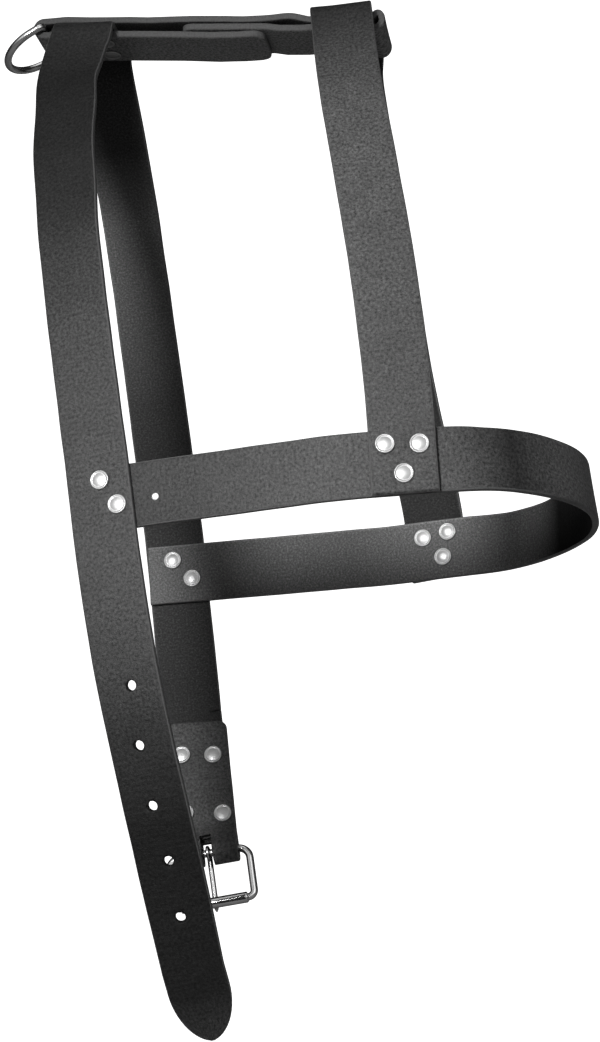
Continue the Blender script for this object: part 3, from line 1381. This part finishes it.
def buckle_frame():
    """Rectangle with wide corners at the heel bar and tighter ones at the roller."""
    half, heel_corner, nose_corner = 21.4, 6.0, 3.5
    heel_x, nose_x = half - heel_corner, half - nose_corner
    nose_y = BUCKLE_LENGTH - nose_corner
    outline = line_points((0, 0), (heel_x, 0), 12)
    outline += arc_points(heel_x, heel_corner, heel_corner, -1, 0, 16)
    outline += line_points((half, heel_corner), (half, nose_y), 14)
    outline += arc_points(nose_x, nose_y, nose_corner, 0, 1, 12)
    outline += line_points((nose_x, BUCKLE_LENGTH), (-nose_x, BUCKLE_LENGTH), 24)
    outline += arc_points(-nose_x, nose_y, nose_corner, 1, 2, 12)
    outline += line_points((-half, nose_y), (-half, heel_corner), 14)
    outline += arc_points(-heel_x, heel_corner, heel_corner, 2, 3, 16)
    outline += line_points((-heel_x, 0), (0, 0), 12)
    path = [HEEL + CHAPE_WIDTH * x + CHAPE_DOWN * y for x, y in outline]
    wire("buckle_frame_wire", path, [WIRE_R] * len(path), True, 32, "buckle_frame", "buckle")


def buckle_roller():
    """Thin tube with rolled ends, slightly waisted."""
    half = 17.6
    end = [(2.09, -half + 0.1), (2.2, -half)]
    end += smooth_profile([(2.35, -half), (2.66, -half + 0.05), (2.84, -half + 0.25),
                           (ROLLER_R, -half + 0.6)], steps=3)
    end += [(ROLLER_R, -half + 1.5)]
    profile = end + [(2.88, 0.0)] + [(radius, -z) for radius, z in end[::-1]]
    lathed_piece("buckle_roller_tube", profile,
                 place_on(HEEL + CHAPE_DOWN * BUCKLE_LENGTH, CHAPE_WIDTH), 48,
                 NICKEL, "buckle_roller", "roller")


def buckle_tongue():
    """Eye bent round the heel bar, shank over the roller, blunt nose."""
    eye_r, eye_count, shank_count = 3.05, 34, 29
    shank_rise = ROLLER_R + 1.5 + 0.06 + 0.32
    shank_end = BUCKLE_LENGTH + 3.6
    path = []
    for j in range(eye_count):
        a = math.radians(285 - 285 * j / (eye_count - 1))
        path.append(HEEL + CHAPE_OUT * (eye_r * math.cos(a)) - CHAPE_DOWN * (eye_r * math.sin(a)))
    for j in range(1, shank_count + 1):
        q = j / shank_count
        rise = eye_r + (shank_rise - eye_r) * q
        path.append(HEEL + CHAPE_DOWN * (shank_end * q) + CHAPE_OUT * rise)
    # the wire thickens from the eye into the shank
    radii = [0.75, 0.85, 0.95]
    radii += [0.95 + 0.5 * max(0, (i - 24) / 10.0) for i in range(3, 35)]
    radii += [1.45] * (len(path) - 39)
    radii += [1.38, 1.25, 0.95, 0.35]
    wire("buckle_tongue_wire", path, radii, False, 24, "buckle_tongue", "tongue")


# the shank's share is stepped in 29 parts
lead_ring()
buckle_frame()
buckle_roller()
buckle_tongue()

# ------------------------------------------------------------------ stage, light, camera (m)
scene = bpy.context.scene
scene.view_settings.view_transform = "Standard"
scene.view_settings.look = "None"


def studio_paper():
    material, sh, surface = principled("studio_paper")
    mottle = sh.add("TexNoise", {"Scale": 3.0, "Detail": 2.0}).outputs[0]
    # glows for the camera only, so that it hardly lights the leather
    seen = sh.add("LightPath").outputs["Is Camera Ray"]
    sh.fill(surface, {
        "Base Color": sh.greys(mottle, (0.3, 0.90), (0.7, 0.93)),
        "Roughness": 0.95,
        "Specular IOR Level": 0.1,
        "Emission Color": grey(1),
        "Emission Strength": sh.mix(seen, 0.04, 1.3)})
    return material


def studio_sweep():
    """Floor well below the harness, curving up into a wall along x."""
    floor, curve_start, curve_r, half_width = -0.95, 1.2, 1.2, 5.0
    profile = [(-4.0, floor), (curve_start, floor)]
    for j in range(1, 17):
        a = math.pi / 2 * j / 16
        profile.append((curve_start + curve_r * math.sin(a), floor + curve_r * (1 - math.cos(a))))
    profile.append((curve_start + curve_r, 4.0))
    points = [(x, y, z) for y, z in profile for x in (-half_width, half_width)]
    faces = [(i, i + 1, i + 3, i + 2) for i in range(0, 2 * len(profile) - 2, 2)]
    mesh = bpy.data.meshes.new("studio_sweep")
    mesh.from_pydata(points, [], faces)
    for face in mesh.polygons:
        face.use_smooth = True
    sweep = add_object("studio_sweep", mesh)
    mesh.materials.append(studio_paper())


def add_light(name, kind, energy, location, aim, **settings):
    light = bpy.data.lights.new(name, kind)
    light.energy = energy
    for setting, value in settings.items():
        setattr(light, setting, value)
    lamp = add_object(name, light)
    lamp.location = location
    direction = Vector(aim) - Vector(location)
    lamp.rotation_euler = direction.to_track_quat("-Z", "Y").to_euler()


def studio_world():
    """Dim light; reflections see a pale room on the camera's side and dark elsewhere."""
    world = bpy.data.worlds.new("studio")
    scene.world = world
    world.use_nodes = True
    sh = Shader(world.node_tree)
    incoming = sh.add("NewGeometry").outputs["Incoming"]
    incoming_y = sh.add("SeparateXYZ", {0: incoming}).outputs[1]
    is_glossy = sh.add("LightPath").outputs["Is Glossy Ray"]
    front = sh.above(incoming_y, 0.25, 1.6)
    glossy = sh.times(is_glossy, 1.0)
    room = sh.plus(sh.times(front, 0.75), 0.03)
    sh.fill(world.node_tree.nodes["Background"], {0: grey(1), 1: sh.mix(glossy, 0.06, room)})


def add_camera():
    camera_data = bpy.data.cameras.new("view")
    camera = add_object("view", camera_data)
    right = vec(0.9862346, 0.1545043, -0.0589047)
    down = vec(-0.0949636, 0.237617, -0.9667058)
    forward = vec(-0.1353635, 0.9589925, 0.2490184)
    camera.matrix_world = matrix_of(right, -down, -forward,
                                    out(vec(171.0311, -1301.685, -340.8696)))
    camera_data.sensor_fit = "AUTO"
    camera_data.sensor_width = 36.0
    camera_data.lens = 93.2821497
    camera_data.clip_start = 0.01
    camera_data.clip_end = 50.0
    scene.camera = camera


studio_sweep()
HARNESS_MIDDLE = (0.12, 0.0, -0.27)
add_light("key", "SPOT", energy=150.0, location=(-0.16, -1.52, -0.10),
          aim=(0.10, -0.05, -0.235), spot_size=math.radians(24.5), spot_blend=1.0,
          shadow_soft_size=0.22)
add_light("fill", "AREA", energy=1.6, location=(1.0, -1.3, 0.1), aim=HARNESS_MIDDLE,
          size=0.8, shape="RECTANGLE", size_y=1.0)
add_light("top", "AREA", energy=1.6, location=(0.1, -0.5, 1.1), aim=HARNESS_MIDDLE, size=0.8)
studio_world()
add_camera()
